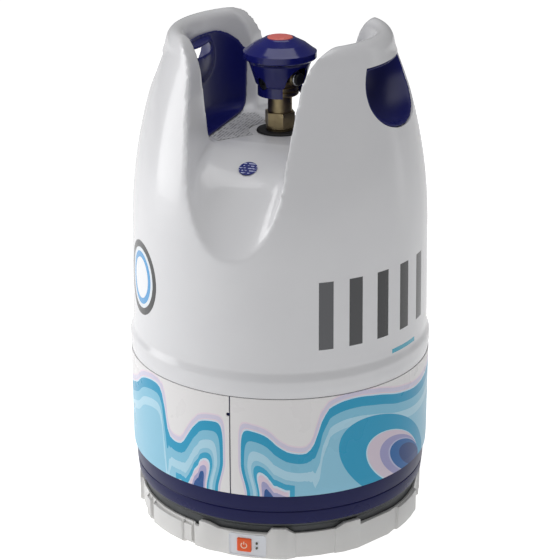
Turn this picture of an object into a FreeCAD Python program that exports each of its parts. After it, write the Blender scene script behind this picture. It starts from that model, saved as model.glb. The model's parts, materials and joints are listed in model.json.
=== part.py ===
import FreeCAD, Part
import math
import os
import re
import Sketcher

# Composite propane cylinder standing in a level-sensing base ring.
# Millimetres. Origin: centre of the base ring's underside. +Z up, front is -Y.
# A turn is an angle counted from the front, towards +X.

SIZES = {
    # whole tank
    "bodyRadius": 152.5, "seamHeight": 178, "shoulderHeight": 302, "shoulderRadius": 148.3,
    "shoulderArc": 500, "topHeight": 506, "topOuter": 108, "skin": 4, "gap": 0.3,
    # collar between the horns, and the scoops in front and behind
    "floorHeight": 401, "collarLow": 86, "collarHigh": 92, "floorFlat": 40,
    "scoopHalf": 49, "scoopNeck": 54.5, "scoopLip": 313, "scoopEnd": 148.5, "scoopFull": 0.76,
    # hand recess in each horn
    "cupCentre": 120, "cupMiddle": 468, "cupDeep": 42, "cupHalf": 57, "cupDrop": 43,
    "barUnder": 480, "cupWall": 3, "gripGap": 9, "linerTurn": 44,
    # gas vessel
    "linerRadius": 138, "linerDome": 80, "domeLow": 132, "domeHigh": 306,
    "linerWall": 3.5, "wrapWall": 5.7, "bossRadius": 19.5, "bossBore": 12.5, "bossTop": 401,
    # lower casing and sleeve
    "footHeight": 41, "footRadius": 148.6, "casingWall": 2.6, "sleeveFoot": 74, "sleeveWall": 1.2,
    # valve
    "collarRadius": 13.6, "hexFlats": 26.8, "hexLow": 408, "hexHigh": 421, "brassRadius": 18.4,
    "wheelRadius": 36, "wheelLow": 474, "wheelTop": 494, "discRadius": 12.5, "outletTurn": 65,
    "outletHeight": 457, "reliefTurn": -30, "reliefHeight": 452, "spindleRadius": 3.5, "spindlePin": 2,
    # overfill guard, under the valve
    "guardRadius": 11, "guardLow": 338, "floatRadius": 8, "floatLength": 46, "armLength": 30,
    # base ring
    "ringInner": 130, "ringFoot": 142, "ringHead": 145.2, "ringWall": 2, "ringHigh": 28,
    "ringDeck": 22.5, "bandRadius": 142.7, "panelRadius": 148.8, "buttonSide": 14.4,
    "buttonTurn": 4.7, "buttonHeight": 17, "lampTurn": 9.6, "lampRadius": 1.1, "padHeight": 1.2,
}

doc = FreeCAD.newDocument("PropaneTank")
sheet = doc.addObject("Spreadsheet::Sheet", "Sizes")
for row, (name, value) in enumerate(SIZES.items(), start=1):
    sheet.set(f"A{row}", name)
    sheet.set(f"B{row}", str(value))
    sheet.setAlias(f"B{row}", name)
doc.recompute()

SUBPARTS = []


# ---- helpers ------------------------------------------------------------------------------

def bound(formula):
    """A formula written in the sheet's names, pointing at the sheet's cells."""
    return re.sub(r"[A-Za-z]\w*",
                  lambda word: f"Sizes.{word.group()}" if word.group() in SIZES else word.group(),
                  str(formula))


def size(formula):
    value = sheet.evalExpression(bound(formula))
    return float(getattr(value, "Value", value))


def bind(thing, **formulas):
    for place, formula in formulas.items():
        thing.setExpression(place.replace("__", "."), bound(formula))
    return thing


def subpart(thing, label):
    thing.Label = label
    SUBPARTS.append(thing)
    return thing


def plane_of(body, role):
    return next(item for item in body.Origin.OriginFeatures if item.Role == role)


def polygon(sketch, corners):
    """A closed outline whose corners are each bound to the sheet, in the sketch's x and y."""
    values = [(size(across), size(up)) for across, up in corners]
    count = len(values)
    for index, (x, y) in enumerate(values):
        x_next, y_next = values[(index + 1) % count]
        line = Part.LineSegment(FreeCAD.Vector(x, y, 0), FreeCAD.Vector(x_next, y_next, 0))
        sketch.addGeometry(line, False)
    for index in range(count):
        sketch.addConstraint(Sketcher.Constraint("Coincident", index, 2, (index + 1) % count, 1))
    for index, (x, y) in enumerate(values):
        for kind, axis, value, formula in (("DistanceX", -2, x, corners[index][0]),
                                           ("DistanceY", -1, y, corners[index][1])):
            if value == 0:
                sketch.addConstraint(Sketcher.Constraint("PointOnObject", index, 1, axis))
                continue
            pin = sketch.addConstraint(Sketcher.Constraint(kind, -1, 1, index, 1, value))
            sketch.setExpression(f"Constraints[{pin}]", bound(formula))


def sketch_on(body, role, corners):
    sketch = body.newObject("Sketcher::SketchObject", "Outline")
    sketch.AttachmentSupport = [(plane_of(body, role), "")]
    sketch.MapMode = "FlatFace"
    polygon(sketch, corners)
    return sketch


def turned(label, outline, sweep=360):
    """A body revolved about Z from an outline of (radius, height)."""
    body = doc.addObject("PartDesign::Body", label)
    sketch = sketch_on(body, "XZ_Plane", outline)
    revolution = body.newObject("PartDesign::Revolution", "Turned")
    revolution.Profile = sketch
    revolution.ReferenceAxis = (sketch, ["V_Axis"])
    revolution.Angle = sweep
    body.Tip = revolution
    doc.recompute()
    return body


def block(label, across, deep, high, radius, height, turn):
    """A box on the turn given: from radius outward by deep, centred at height."""
    box = doc.addObject("Part::Box", label)
    bind(box, Length=across, Width=deep, Height=high)
    angle = f"{bound(turn)}"
    box.setExpression("Placement.Rotation.Angle", angle)
    place = (f"({bound(radius)} + {bound(deep)})", f"(({bound(across)}) / 2)")
    box.setExpression("Placement.Base.x", f"{place[0]} * sin({angle}) - {place[1]} * cos({angle})")
    box.setExpression("Placement.Base.y", f"-{place[0]} * cos({angle}) - {place[1]} * sin({angle})")
    box.setExpression("Placement.Base.z", f"{bound(height)} - ({bound(high)}) / 2")
    return box


def rod(label, radius, length, x=0, y=0, z=0, axis="Z", sweep=360, turn=0):
    """A cylinder from x, y, z along an axis, or outward along a turn when the axis is "R"."""
    cylinder = doc.addObject("Part::Cylinder", label)
    bind(cylinder, Radius=radius, Height=length)
    cylinder.Angle = sweep
    if axis == "R":
        yaw = FreeCAD.Rotation(FreeCAD.Vector(0, 0, 1), size(turn))
        cylinder.Placement.Rotation = yaw * FreeCAD.Rotation(FreeCAD.Vector(1, 0, 0), 90)
        x, y = f"({x}) * sin({turn})", f"-({x}) * cos({turn})"
    elif axis != "Z":
        along = {"X": FreeCAD.Vector(1, 0, 0), "Y": FreeCAD.Vector(0, 1, 0)}[axis]
        cylinder.Placement.Rotation = FreeCAD.Rotation(FreeCAD.Vector(0, 0, 1), along)
    elif turn != 0:
        cylinder.Placement.Rotation = FreeCAD.Rotation(FreeCAD.Vector(0, 0, 1), size(turn) - 90)
    for letter, formula in zip("xyz", (x, y, z)):
        cylinder.setExpression(f"Placement.Base.{letter}", bound(formula))
    return cylinder


def cut(label, base, tool):
    thing = doc.addObject("Part::Cut", label)
    thing.Base, thing.Tool = base, tool
    thing.Refine = False
    return thing


def fuse(label, pieces):
    thing = doc.addObject("Part::MultiFuse", label)
    thing.Shapes = pieces
    thing.Refine = False
    return thing


def group(label, pieces):
    """Separate solids under one name, such as identical fasteners."""
    thing = doc.addObject("Part::Compound", label)
    thing.Links = pieces
    return thing


def shaped(label, shape):
    feature = doc.addObject("Part::Feature", label)
    feature.Shape = shape
    return feature


def ring_block(label, turn_from, turn_to, low, high, inner, outer):
    """A curved block between two turns, two heights and two radii."""
    sweep = size(turn_to) - size(turn_from)
    outside = rod(label + "Outside", outer, f"({high}) - ({low})", z=low, sweep=sweep, turn=turn_from)
    inside = rod(label + "Inside", inner, f"({high}) - ({low}) + 2", z=f"({low}) - 1")
    return cut(label, outside, inside)


def rounded_edges(label, base, radius, wanted):
    """Rounds the edges of base that wanted(edge) picks."""
    doc.recompute()
    fillet = doc.addObject("Part::Fillet", label)
    fillet.Base = base
    picked = [index for index, edge in enumerate(base.Shape.Edges, start=1) if wanted(edge)]
    fillet.Edges = [(index, size(radius), size(radius)) for index in picked]
    return fillet


# ---- gas vessel ---------------------------------------------------------------------------

def vessel_solid(label, radius, dome):
    """A round vessel: a cylinder between two half-ellipsoid domes."""
    middle = rod(label + "Middle", radius, "domeHigh - domeLow", z="domeLow")
    domes = []
    for end, height in (("Upper", "domeHigh"), ("Lower", "domeLow")):
        ball = doc.addObject("Part::Ellipsoid", label + end)
        bind(ball, Radius1=dome, Radius2=radius, Radius3=radius, Placement__Base__z=height)
        domes.append(ball)
    return fuse(label, [middle] + domes)


def gas_vessel():
    hole = rod("NeckHole", "bossRadius + gap", 60, z="domeHigh + linerDome - 30")
    outside = vessel_solid("LinerOutside", "linerRadius", "linerDome")
    inside = vessel_solid("LinerInside", "linerRadius - linerWall", "linerDome - linerWall")
    subpart(cut("gas_liner", cut("LinerShell", outside, inside), hole), "gas_liner")
    wrap_out = vessel_solid("WrapOutside", "linerRadius + gap + wrapWall", "linerDome + gap + wrapWall")
    wrap_in = vessel_solid("WrapInside", "linerRadius + gap", "linerDome + gap")
    wrap_hole = rod("WrapHole", "bossRadius + gap", 60, z="domeHigh + linerDome - 30")
    subpart(cut("composite_wrap", cut("WrapShell", wrap_out, wrap_in), wrap_hole), "composite_wrap")
    boss = turned("neck_boss", [
        ("bossBore", "domeHigh + 66"), ("bossRadius + 11", "domeHigh + 66"),
        ("bossRadius + 11", "domeHigh + 71"), ("bossRadius", "domeHigh + 74.2"),
        ("bossRadius", "bossTop"), ("bossBore", "bossTop")])
    subpart(boss, "neck_boss")
    washer = turned("neck_washer", [
        ("collarRadius + 0.4", "bossTop + 0.2"), ("23", "bossTop + 0.2"),
        ("23", "bossTop + 1.2"), ("22.4", "bossTop + 1.8"), ("collarRadius + 0.4", "bossTop + 1.8")])
    subpart(washer, "neck_washer")


# ---- casings ------------------------------------------------------------------------------

def horn_outline(inset, low):
    """Half section of the tank above the seam, straight and arched, inset by the wall."""
    points = [(size("bodyRadius") - 0.2, size("seamHeight")), (size("bodyRadius") + 0.7, 186),
              (size("bodyRadius") + 0.7, 196), (size("bodyRadius") - 2.2, 203)]
    shoulder = (size("shoulderRadius"), size("shoulderHeight"))
    arc = size("shoulderArc")
    top = size("topHeight")

    def arched(height):
        rise = height - shoulder[1]
        return shoulder[0] - (arc - math.sqrt(arc ** 2 - rise ** 2))

    # The rim is one round lip: it leaves the arch at lip_low and is level at the top.
    lip_low = top - 16
    outer = [FreeCAD.Vector(radius - inset, 0, height) for radius, height in points]
    outer[0].z = low
    waist = FreeCAD.Vector(shoulder[0] - inset, 0, shoulder[1])
    half_way = FreeCAD.Vector(arched((shoulder[1] + lip_low) / 2) - inset, 0, (shoulder[1] + lip_low) / 2)
    lip = FreeCAD.Vector(arched(lip_low) - inset, 0, lip_low)
    crest = FreeCAD.Vector(size("topOuter") - 7, 0, top - inset)
    shoulder_of_lip = FreeCAD.Vector(lip.x - 3.4, 0, top - inset - 4.2)
    edges = [Part.makeLine(first, second) for first, second in zip(outer, outer[1:])]
    edges.append(Part.makeLine(outer[-1], waist))
    edges.append(Part.Arc(waist, half_way, lip).toShape())
    edges.append(Part.Arc(lip, shoulder_of_lip, crest).toShape())
    axis_top = FreeCAD.Vector(0, 0, crest.z)
    axis_low = FreeCAD.Vector(0, 0, low)
    edges += [Part.makeLine(crest, axis_top), Part.makeLine(axis_top, axis_low),
              Part.makeLine(axis_low, outer[0])]
    return Part.Wire(edges)


def spun(wire):
    face = Part.Face(wire)
    return face.revolve(FreeCAD.Vector(0, 0, 0), FreeCAD.Vector(0, 0, 1), 360)


def collar_hollow(grow):
    """The round space between the horns, open at the top, grown by a wall."""
    floor = size("floorHeight") - grow
    low = size("collarLow") + grow
    high = size("collarHigh") + grow
    bend = 14 - grow * 0.5
    top = size("topHeight") + 20
    lip = size("topHeight") - 9
    toe = FreeCAD.Vector(low - bend, 0, floor)
    middle = FreeCAD.Vector(low - bend * 0.29, 0, floor + bend * 0.29)
    heel = FreeCAD.Vector(low + 0.6, 0, floor + bend)
    mouth = FreeCAD.Vector(high, 0, lip)
    flare_middle = FreeCAD.Vector(high + 2.6, 0, size("topHeight") - 2.4)
    flare = FreeCAD.Vector(size("topOuter") - 7.5 + grow, 0, size("topHeight") + 0.01)
    edges = [Part.makeLine(FreeCAD.Vector(0, 0, floor), toe), Part.Arc(toe, middle, heel).toShape(),
             Part.makeLine(heel, mouth), Part.Arc(mouth, flare_middle, flare).toShape(),
             Part.makeLine(flare, FreeCAD.Vector(flare.x, 0, top)),
             Part.makeLine(FreeCAD.Vector(flare.x, 0, top), FreeCAD.Vector(0, 0, top)),
             Part.makeLine(FreeCAD.Vector(0, 0, top), FreeCAD.Vector(0, 0, floor))]
    return spun(Part.Wire(edges))


def scoop_depth(run):
    """How far the scoop's middle lies under the collar's floor, at a distance along -Y."""
    flat = size("floorFlat")
    reach = size("scoopEnd") - flat
    share = min(max(run - flat, 0) / reach, 1)
    return (size("floorHeight") - size("scoopLip")) * (1 - math.sqrt(1 - share ** 2))


def scoop(grow):
    """The trough in front of the valve: a full, round-cornered bowl in section, flared between the horns."""
    floor = size("floorHeight")
    half = size("scoopHalf") + grow
    neck = size("scoopNeck") + grow
    top = size("topHeight")
    sections = []
    for run in (50, 66, 82, 98, 112, 124, 134, 142, 148.5, 162):
        depth = scoop_depth(run) + grow + 0.4
        y = -run
        bowl = []
        for degrees in range(0, 181, 15):
            across = math.cos(math.radians(degrees))
            down = max(math.sin(math.radians(degrees)), 0)
            x = -half * math.copysign(abs(across) ** size("scoopFull"), across)
            bowl.append(FreeCAD.Vector(x, y, floor - depth * down ** size("scoopFull")))
        trough = Part.BSplineCurve()
        trough.interpolate(bowl)
        corners = [FreeCAD.Vector(half, y, floor), FreeCAD.Vector(neck, y, 459)]
        lip_middle = FreeCAD.Vector(neck + 8.5, y, top - 13)
        lip_end = FreeCAD.Vector(neck + 31, y, top + 1.5)
        wall = [Part.makeLine(corners[0], corners[1]), Part.Arc(corners[1], lip_middle, lip_end).toShape()]
        mirror = [edge.mirror(FreeCAD.Vector(0, 0, 0), FreeCAD.Vector(1, 0, 0)) for edge in wall]
        high_right = FreeCAD.Vector(lip_end.x, y, top + 30)
        high_left = FreeCAD.Vector(-lip_end.x, y, top + 30)
        roof = [Part.makeLine(lip_end, high_right), Part.makeLine(high_right, high_left),
                Part.makeLine(high_left, FreeCAD.Vector(-lip_end.x, y, lip_end.z))]
        sections.append(Part.Wire(Part.__sortEdges__([trough.toShape()] + wall + roof + mirror)))
    return Part.makeLoft(sections, True, False)


def cup_hollow(grow, roof):
    """The space for the hand in the right horn: an ellipsoid with a flat roof under the bar."""
    ball = Part.makeSphere(1)
    stretch = FreeCAD.Matrix()
    stretch.scale(size("cupDeep") + grow, size("cupHalf") + grow, size("cupDrop") + grow)
    ball = ball.transformGeometry(stretch)
    ball.translate(FreeCAD.Vector(size("cupCentre"), 0, size("cupMiddle")))
    slab = Part.makeBox(120, 200, 120, FreeCAD.Vector(60, -100, roof - 120))
    return ball.common(slab)


def mirrored(shape, normal):
    return shape.mirror(FreeCAD.Vector(0, 0, 0), normal)


ACROSS = FreeCAD.Vector(1, 0, 0)
ALONG = FreeCAD.Vector(0, 1, 0)


def upper_casing():
    skin = size("skin")
    wall = size("cupWall")
    solid = spun(horn_outline(0, size("seamHeight") + 0.4))
    hollow = spun(horn_outline(skin, size("seamHeight") - 10))
    troughs = scoop(0)
    troughs = troughs.fuse(mirrored(troughs, ALONG))
    grown = scoop(skin)
    grown = grown.fuse(mirrored(grown, ALONG))
    space = collar_hollow(0).fuse(troughs)
    hollow = hollow.cut(collar_hollow(skin)).cut(grown)
    seat = cup_hollow(wall + size("gap"), size("barUnder") + wall + size("gap"))
    rim = cup_hollow(wall + size("gap") + skin, size("barUnder") + wall + size("gap") + skin)
    for side in (rim, mirrored(rim, ACROSS)):
        hollow = hollow.cut(side)
    casing = solid.cut(space)
    for side in (seat, mirrored(seat, ACROSS)):
        casing = casing.cut(side)
    casing = casing.cut(hollow)
    neck = Part.makeCylinder(23.4, 40, FreeCAD.Vector(0, 0, size("floorHeight") - 20))
    casing = casing.cut(neck)
    subpart(shaped("upper_casing", casing), "upper_casing")
    return solid


def handle_liners(tank):
    """A navy liner in each horn: hand cup, panel on the collar's wall and strip under the bar."""
    wall = size("cupWall")
    roof = size("barUnder")
    gap = size("gap")
    turn = size("linerTurn")
    panel = collar_hollow(-gap).cut(collar_hollow(-gap - wall + 0.4))
    slice_of = Part.makeCylinder(120, roof + wall - 404, FreeCAD.Vector(0, 0, 404),
                                 FreeCAD.Vector(0, 0, 1), 2 * turn)
    slice_of.rotate(FreeCAD.Vector(0, 0, 0), FreeCAD.Vector(0, 0, 1), -turn)
    cup = cup_hollow(wall, roof + wall).fuse(panel.common(slice_of)).cut(cup_hollow(0, roof))
    slot = Part.makeBox(30, 70, size("gripGap"), FreeCAD.Vector(70, -35, roof - size("gripGap")))
    cup = cup.cut(slot).common(tank)
    cup = max(cup.Solids, key=lambda piece: piece.Volume)
    subpart(shaped("handle_liner_right", cup), "handle_liner_right")
    subpart(shaped("handle_liner_left", mirrored(cup, ACROSS)), "handle_liner_left")


def lower_casing():
    pan = turned("lower_casing", [
        ("0", "footHeight"), ("footRadius - 2", "footHeight"), ("footRadius", "footHeight + 2"),
        ("bodyRadius - 2.6", "footHeight + 14"), ("bodyRadius - 1.6", "sleeveFoot - 1"),
        ("bodyRadius - 1.2", "sleeveFoot + 6"), ("bodyRadius - 1.2", "seamHeight"),
        ("bodyRadius - 5", "seamHeight"), ("bodyRadius - 5", "seamHeight + 12"),
        ("bodyRadius - 7", "seamHeight + 12"), ("bodyRadius - 7", "seamHeight - 4"),
        ("bodyRadius - 1.2 - casingWall", "seamHeight - 8"),
        ("bodyRadius - 1.2 - casingWall", "sleeveFoot"),
        ("footRadius - casingWall", "footHeight + 4"), ("footRadius - 8", "footHeight + casingWall"),
        ("0", "footHeight + casingWall")])
    subpart(pan, "lower_casing")


def graphic_sleeve():
    """A printed wrap, open along one narrow slit at the front."""
    wrap = turned("SleeveRing", [
        ("bodyRadius + 0.5 - sleeveWall", "sleeveFoot + 0.3"), ("bodyRadius + 0.1", "sleeveFoot + 0.3"),
        ("bodyRadius + 0.5", "sleeveFoot + 8"), ("bodyRadius + 0.5", "seamHeight - 0.2"),
        ("bodyRadius + 0.5 - sleeveWall", "seamHeight - 0.2")])
    slit = block("SleeveSlit", "1.3", "8", "200", "bodyRadius - 4", "seamHeight - 50", "0")
    notch = rod("SleeveNotch", "2", "8", x="bodyRadius - 4", z="seamHeight - 19", axis="R", turn="-0.6")
    subpart(cut("graphic_sleeve", wrap, fuse("SleeveCuts", [slit, notch])), "graphic_sleeve")


def labels():
    arcs = []
    for side, middle in (("Right", 90), ("Left", 270)):
        arcs.append(ring_block("Label" + side, f"{middle} - 50", f"{middle} + 50", "floorHeight + 0.1",
                               "floorHeight + 0.5", "31", "collarLow - 15"))
    subpart(group("floor_label", arcs), "floor_label")
    badge = doc.addObject("Part::Cylinder", "data_badge")
    badge.Radius, badge.Height = 9, 0.8
    run = 95
    drop = scoop_depth(run) + 0.4
    slope = math.degrees(math.atan2(scoop_depth(run + 3) - scoop_depth(run - 3), 6))
    badge.Placement = FreeCAD.Placement(FreeCAD.Vector(0, -run, size("floorHeight") - drop + 0.4),
                                        FreeCAD.Rotation(FreeCAD.Vector(1, 0, 0), slope))
    subpart(badge, "data_badge")


# ---- valve --------------------------------------------------------------------------------

def laid_outward(body, turn, height):
    """Turns a body made about Z so that its axis runs outward, level, on the turn given."""
    yaw = FreeCAD.Rotation(FreeCAD.Vector(0, 0, 1), size(turn))
    tilt = FreeCAD.Rotation(FreeCAD.Vector(1, 0, 0), 90)
    body.Placement = FreeCAD.Placement(FreeCAD.Vector(0, 0, size(height)), yaw * tilt)
    return body


def hexagon(label, flats, high, low):
    nut = doc.addObject("Part::Prism", label)
    nut.Polygon = 6
    bind(nut, Circumradius=f"({flats}) / 2 / cos(30)", Height=high, Placement__Base__z=low)
    return nut


def valve_body():
    stem = turned("ValveStem", [
        ("0", "bossTop - 29"), ("bossBore - 0.4", "bossTop - 29"), ("bossBore - 0.4", "bossTop + 0.3"),
        ("collarRadius", "bossTop + 0.3"), ("collarRadius", "bossTop + 3"),
        ("collarRadius - 1", "bossTop + 3.6"), ("collarRadius", "bossTop + 4.2"),
        ("collarRadius", "hexLow"), ("12", "hexLow"), ("12", "hexHigh + 17"),
        ("brassRadius - 1", "hexHigh + 17"), ("brassRadius", "hexHigh + 18"),
        ("brassRadius", "hexHigh + 21"), ("brassRadius - 1.4", "hexHigh + 22"),
        ("brassRadius", "hexHigh + 23"), ("brassRadius", "hexHigh + 26"),
        ("brassRadius - 1.4", "hexHigh + 27"), ("brassRadius", "hexHigh + 28"),
        ("brassRadius", "hexHigh + 31"), ("brassRadius - 2", "hexHigh + 33"),
        ("brassRadius - 2", "hexHigh + 42"), ("13", "hexHigh + 44"), ("13", "wheelLow - 4"),
        ("0", "wheelLow - 4")])
    nut = hexagon("ValveHex", "hexFlats", "hexHigh - hexLow", "hexLow")
    outlet = rod("OutletBoss", "8", "21", x="0", z="outletHeight", axis="R", turn="outletTurn")
    relief = rod("ReliefBoss", "6", "19", x="0", z="reliefHeight", axis="R", turn="reliefTurn")
    solid = fuse("ValveSolid", [stem, nut, outlet, relief])
    holes = [rod("RiserBore", "4", "100", z="bossTop - 40"),
             rod("PlugChamber", "7", "60", z="hexHigh + 25"),
             rod("OutletBore", "4.6", "40", x="4", z="outletHeight", axis="R", turn="outletTurn"),
             rod("ReliefBore", "3.6", "20", x="9", z="reliefHeight", axis="R", turn="reliefTurn"),
             rod("ReliefPassage", "1.1", "reliefHeight - bossTop + 30", x="9.8 * sin(reliefTurn)",
                 y="-9.8 * cos(reliefTurn)", z="bossTop - 30")]
    subpart(cut("valve_body", solid, fuse("ValveHoles", holes)), "valve_body")


def valve_hood():
    """A moulded shroud round the brass, with an arched window towards the outlet."""
    shell = turned("HoodShell", [
        ("20.6", "hexHigh + 17"), ("22", "hexHigh + 17"), ("22", "hexHigh + 27"),
        ("24", "hexHigh + 29"), ("30.6", "wheelLow - 3.4"), ("30", "wheelLow - 1.6"),
        ("13.4", "wheelLow - 1.6"), ("13.4", "wheelLow - 3.6"), ("27.4", "wheelLow - 3.6"),
        ("22", "hexHigh + 29.6"), ("20.6", "hexHigh + 28")])
    window = [block("HoodSill", "28", "30", "18", "12", "hexHigh + 25", "outletTurn"),
              rod("HoodArch", "14", "30", x="12", z="outletHeight - 2", axis="R", turn="outletTurn"),
              rod("HoodVent", "6.4", "22", x="12", z="reliefHeight", axis="R", turn="reliefTurn")]
    subpart(cut("valve_hood", shell, fuse("HoodCuts", window)), "valve_hood")


def handwheel():
    wheel = turned("handwheel", [
        ("2.8", "wheelTop - 4.5"), ("2.8", "wheelTop - 1.6"), ("discRadius + 0.3", "wheelTop - 1.6"),
        ("discRadius + 0.3", "wheelTop + 0.5"), ("15", "wheelTop + 0.5"), ("16.5", "wheelTop - 0.5"),
        ("25.6", "wheelTop - 5"), ("wheelRadius - 2.5", "wheelLow + 9"),
        ("wheelRadius", "wheelLow + 7.4"), ("wheelRadius", "wheelLow + 1.5"),
        ("wheelRadius - 1.5", "wheelLow"), ("wheelRadius - 3.5", "wheelLow"),
        ("wheelRadius - 3.5", "wheelLow + 6.4"), ("24", "wheelTop - 8"), ("15", "wheelTop - 4.2"),
        ("8", "wheelTop - 4.2"), ("8", "wheelLow + 6"), ("spindleRadius + 0.1", "wheelLow + 6"),
        ("spindleRadius + 0.1", "wheelTop - 4.5")])
    subpart(wheel, "handwheel")
    disc = turned("wheel_disc", [
        ("0", "wheelTop + 0.9"), ("0", "wheelTop + 2.2"), ("discRadius - 1", "wheelTop + 1.6"),
        ("discRadius", "wheelTop + 0.8"), ("discRadius", "wheelTop - 1.4"),
        ("discRadius - 1.4", "wheelTop - 1.4"), ("discRadius - 1.4", "wheelTop + 0.7")])
    subpart(disc, "wheel_disc")
    screw = turned("wheel_screw", [
        ("0", "wheelTop - 4.4"), ("2.5", "wheelTop - 4.4"), ("2.5", "wheelTop - 1.5"),
        ("5", "wheelTop - 1.5"), ("5", "wheelTop"), ("4", "wheelTop + 0.5"), ("0", "wheelTop + 0.5")])
    subpart(screw, "wheel_screw")
    spindle = turned("valve_spindle", [
        ("0", "hexHigh + 33"), ("spindlePin", "hexHigh + 33"), ("spindlePin", "hexHigh + 38"),
        ("spindleRadius", "hexHigh + 38"), ("spindleRadius", "wheelTop - 4.6"), ("0", "wheelTop - 4.6")])
    subpart(spindle, "valve_spindle")


def valve_inside():
    nut = hexagon("GlandHex", "19", "6", "wheelLow - 3.8")
    bore = rod("GlandBore", "spindleRadius + 0.05", "20", z="wheelLow - 10")
    subpart(cut("gland_nut", nut, bore), "gland_nut")
    seal = turned("spindle_seal", [
        ("spindleRadius + 0.05", "wheelLow - 8"), ("6.9", "wheelLow - 8"),
        ("6.9", "wheelLow - 5"), ("spindleRadius + 0.05", "wheelLow - 5")])
    subpart(seal, "spindle_seal")
    plug = turned("valve_plug", [
        ("0", "hexHigh + 26.6"), ("6.4", "hexHigh + 26.6"), ("6.4", "hexHigh + 35"),
        ("2.7", "hexHigh + 35"), ("2.7", "hexHigh + 30"), ("0", "hexHigh + 30")])
    subpart(plug, "valve_plug")
    subpart(rod("seat_disc", "5.6", "1.2", z="hexHigh + 25.3"), "seat_disc")


def outlet_and_relief():
    ring = laid_outward(turned("outlet_ring", [
        ("4.7", "21.2"), ("6.6", "21.2"), ("6.6", "23.4"), ("6", "24"), ("4.7", "24")]),
        "outletTurn", "outletHeight")
    subpart(ring, "outlet_ring")
    plug = laid_outward(turned("outlet_plug", [
        ("0", "13"), ("4.3", "13"), ("4.3", "14.6"), ("3.5", "14.6"), ("3.5", "16.6"), ("4.3", "16.6"),
        ("4.3", "24.3"), ("6.2", "24.3"), ("6.2", "26"), ("5.2", "27"), ("0", "27")]),
        "outletTurn", "outletHeight")
    subpart(plug, "outlet_plug")
    seal = laid_outward(turned("outlet_seal", [
        ("3.55", "14.8"), ("4.5", "14.8"), ("4.5", "16.4"), ("3.55", "16.4")]),
        "outletTurn", "outletHeight")
    subpart(seal, "outlet_seal")
    cap = laid_outward(turned("relief_cap", [
        ("1.6", "19.2"), ("5.6", "19.2"), ("5.6", "21.6"), ("4.8", "22.4"), ("1.6", "22.4")]),
        "reliefTurn", "reliefHeight")
    subpart(cap, "relief_cap")
    poppet = laid_outward(turned("relief_poppet", [
        ("0", "9.2"), ("3.3", "9.2"), ("3.3", "11"), ("1.2", "11.6"), ("1.2", "17"), ("0", "17")]),
        "reliefTurn", "reliefHeight")
    subpart(poppet, "relief_poppet")
    coil = Part.makeHelix(1.5, 6.9, 2.5)
    wire = Part.Wire([Part.makeCircle(0.35, FreeCAD.Vector(2.5, 0, 0), FreeCAD.Vector(0, 1, 0))])
    spring = shaped("relief_spring", Part.Wire(coil.Edges).makePipeShell([wire], True, True))
    yaw = FreeCAD.Rotation(FreeCAD.Vector(0, 0, 1), size("reliefTurn"))
    out = yaw.multVec(FreeCAD.Vector(0, -12, 0))
    spring.Placement = FreeCAD.Placement(FreeCAD.Vector(out.x, out.y, size("reliefHeight")),
                                         yaw * FreeCAD.Rotation(FreeCAD.Vector(1, 0, 0), 90))
    subpart(spring, "relief_spring")


def overfill_guard():
    """A float on an arm, hung on a pin between two ears of a tube under the valve."""
    tube = turned("GuardTube", [
        ("guardRadius - 2", "guardLow + 10"), ("guardRadius", "guardLow + 10"),
        ("guardRadius", "bossTop - 29.3"), ("guardRadius - 2", "bossTop - 29.3")])
    ears = []
    for side in (-1, 1):
        ear = doc.addObject("Part::Box", "GuardEar")
        bind(ear, Length="8", Width="3", Height="16", Placement__Base__x="-4",
             Placement__Base__y=f"{side} * 6.6 - 1.5", Placement__Base__z="guardLow - 4")
        ears.append(ear)
    hole = rod("GuardPinHole", "1.5", "40", y="-20", z="guardLow", axis="Y")
    subpart(cut("overfill_guard", fuse("GuardSolid", [tube] + ears), hole), "overfill_guard")
    subpart(rod("float_pin", "1.45", "17", y="-8.5", z="guardLow", axis="Y"), "float_pin")
    eye = rod("ArmEye", "3.4", "9.4", y="-4.7", z="guardLow", axis="Y")
    stalk = rod("ArmStalk", "1.6", "armLength - 2", z="guardLow - armLength")
    bore = rod("ArmBore", "1.5", "40", y="-20", z="guardLow", axis="Y")
    subpart(cut("float_arm", fuse("ArmSolid", [eye, stalk]), bore), "float_arm")
    can = turned("float_can", [
        ("0", "guardLow - armLength - floatLength"),
        ("floatRadius - 3", "guardLow - armLength - floatLength"),
        ("floatRadius", "guardLow - armLength - floatLength + 3"),
        ("floatRadius", "guardLow - armLength - 3.2"),
        ("floatRadius - 3", "guardLow - armLength - 0.2"), ("0", "guardLow - armLength - 0.2")])
    subpart(can, "float_can")


# ---- base ring ----------------------------------------------------------------------------

# Raised blocks on the ring's wall: from turn, to turn, top height and outer radius.
RING_BLOCKS = [
    (-50, -46, 24, 148), (-42.3, -23.2, 25, 148.6), (-17, -10.5, 30, 147.4), (-10.5, -6, 33, 148.4),
    (13.6, 24.4, 31, 147.2), (15.1, 21, 36.3, 149.2), (24.4, 40.6, 30, 145.6), (40.6, 51, 30, 147.4),
    (44.7, 50.9, 35, 148.2), (52, 67, 29, 147.4), (73, 91, 27, 148.4),
    (104, 122, 30, 147.2), (108, 114, 35, 148.8), (130, 146, 28, 148.4),
    (154, 170, 30, 147.2), (158, 164, 36, 148.8), (178, 196, 29, 146.4),
    (204, 220, 30, 147.2), (208, 214, 35, 148.8), (228, 246, 28, 148.4),
    (254, 270, 30, 147.2), (258, 264, 35, 148.8), (280, 300, 27, 148.4),
]


# The eight screws that hold the plate under the ring's ledge.
SCREW_PLACES = [tuple(f"(ringInner - 3.4) * {way}({number * 45 + 22.5})" for way in ("cos", "sin"))
                for number in range(8)]


def screw_holes(label):
    return [rod(label, "1.7", "20", x=x, y=y, z="2") for x, y in SCREW_PLACES]


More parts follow.
